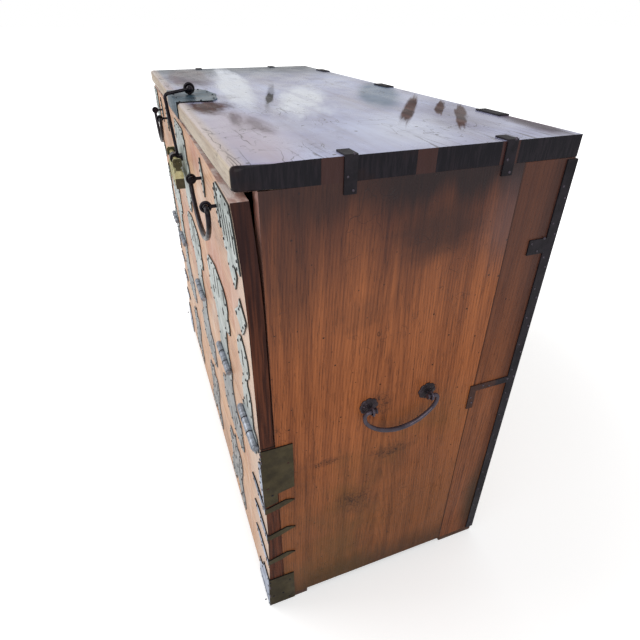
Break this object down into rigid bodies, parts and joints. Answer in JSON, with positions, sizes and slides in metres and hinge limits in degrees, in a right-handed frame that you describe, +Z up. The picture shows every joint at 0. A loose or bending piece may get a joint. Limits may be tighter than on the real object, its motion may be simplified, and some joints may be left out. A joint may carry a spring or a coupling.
{
  "type": "blanket chest",
  "caption": "Tall wooden blanket chest with a fixed top, a drop-down front flap on barrel hinges, a swinging hasp with a sliding-bolt padlock, bail handles and iron corner fittings.",
  "frame": {"origin": "on the floor, under the centre of the chest's bounding box", "axes": "+X along the length to the chest's right as its front is faced, -Y out of the front, +Z up"},
  "size_m": [1.071, 0.4594, 0.822],
  "materials": {
    "top_wood": "dark red-brown lacquered wood, glossy, lightly scratched",
    "end_wood": "red-brown oiled wood, straight grain, satin",
    "narrow_wood": "red-brown oiled wood, darker than the wide boards, satin",
    "front_wood": "orange-brown wood, worn, satin",
    "flap_wood": "orange-brown wood, worn, satin",
    "inner_wood": "bare wood, matt",
    "rail_wood": "dark wood, matt",
    "front_iron": "thin forged iron sheet, grey, worn",
    "corner_iron": "thin forged iron sheet, olive-brown",
    "strap_iron": "thin forged iron sheet, dark brown",
    "hasp_plate_iron": "thin forged iron sheet, near black",
    "handle_iron": "forged round iron, near black",
    "washer_iron": "embossed iron sheet, dark",
    "lock_brass": "aged yellow brass",
    "bolt_brass": "aged dark brass"
  },
  "bodies": {
    "carcass": {"top_board": "top_wood", "right_end_board": "end_wood", "right_end_narrow_board": "narrow_wood", "left_end_board": "end_wood", "left_end_narrow_board": "narrow_wood", "back_upper_board": "inner_wood", "back_lower_board": "inner_wood", "floor_board": "inner_wood", "fixed_front_board": "front_wood", "front_foot_rail": "rail_wood", "back_foot_rail": "rail_wood", "hasp_plate": "hasp_plate_iron", "hasp_ring_bolt": "handle_iron", "hinge_1_lower_leaf": "front_iron", "hinge_2_lower_leaf": "front_iron", "hinge_3_lower_leaf": "front_iron", "hinge_4_lower_leaf": "front_iron", "hinge_5_lower_leaf": "front_iron", "hinge_pins": "front_iron", "right_corner_plate": "corner_iron", "right_corner_straps": "corner_iron", "right_bottom_corner_plate": "corner_iron", "left_corner_plate": "corner_iron", "left_corner_straps": "corner_iron", "left_bottom_corner_plate": "corner_iron", "right_back_band": "strap_iron", "right_back_straps": "strap_iron", "left_back_band": "strap_iron", "left_back_straps": "strap_iron", "right_top_straps": "strap_iron", "left_top_straps": "strap_iron", "back_top_straps": "strap_iron", "front_ornaments": "front_iron", "right_handle_washers": "washer_iron", "right_handle_ring_bolts": "handle_iron", "left_handle_washers": "washer_iron", "left_handle_ring_bolts": "handle_iron"},
    "flap": {"flap_board": "flap_wood", "hinge_1_upper_leaf": "front_iron", "hinge_2_upper_leaf": "front_iron", "hinge_3_upper_leaf": "front_iron", "hinge_4_upper_leaf": "front_iron", "hinge_5_upper_leaf": "front_iron", "lock_plate": "front_iron", "lock_staple": "handle_iron", "padlock_case": "lock_brass", "right_flap_corner_plate": "front_iron", "left_flap_corner_plate": "front_iron", "right_flap_edge_plate": "front_iron", "left_flap_edge_plate": "front_iron", "flap_handle_plates": "front_iron", "flap_handle_ring_bolts": "handle_iron"},
    "hasp": {"hasp": "handle_iron"},
    "padlock_bolt": {"padlock_bolt": "bolt_brass"},
    "right_end_bail": {"right_end_bail": "handle_iron"},
    "left_end_bail": {"left_end_bail": "handle_iron"},
    "right_flap_bail": {"right_flap_bail": "handle_iron"},
    "left_flap_bail": {"left_flap_bail": "handle_iron"}
  },
  "joints": [
    {"name": "flap_hinge", "type": "hinge", "parent": "carcass", "child": "flap", "pos_m": [0, -0.21015, 0.412], "axis": [1, 0, 0], "range_deg": [0, 160]},
    {"name": "hasp_hinge", "type": "hinge", "parent": "carcass", "child": "hasp", "pos_m": [0.02, -0.17635, 0.812], "axis": [-1, 0, 0], "range_deg": [0, 180]},
    {"name": "padlock_bolt_slide", "type": "slide", "parent": "flap", "child": "padlock_bolt", "axis": [-1, 0, 0], "range_m": [0, 0.075]},
    {"name": "right_end_bail_hinge", "type": "hinge", "parent": "carcass", "child": "right_end_bail", "pos_m": [0.528, 0.00965, 0.441], "axis": [0, -1, 0], "range_deg": [-8, 110]},
    {"name": "left_end_bail_hinge", "type": "hinge", "parent": "carcass", "child": "left_end_bail", "pos_m": [-0.528, 0.00965, 0.441], "axis": [0, 1, 0], "range_deg": [-8, 110]},
    {"name": "right_flap_bail_hinge", "type": "hinge", "parent": "flap", "child": "right_flap_bail", "pos_m": [0.347, -0.22202, 0.728], "axis": [-1, 0, 0], "range_deg": [-8, 110]},
    {"name": "left_flap_bail_hinge", "type": "hinge", "parent": "flap", "child": "left_flap_bail", "pos_m": [-0.277, -0.22202, 0.728], "axis": [-1, 0, 0], "range_deg": [-8, 110]}
  ]
}
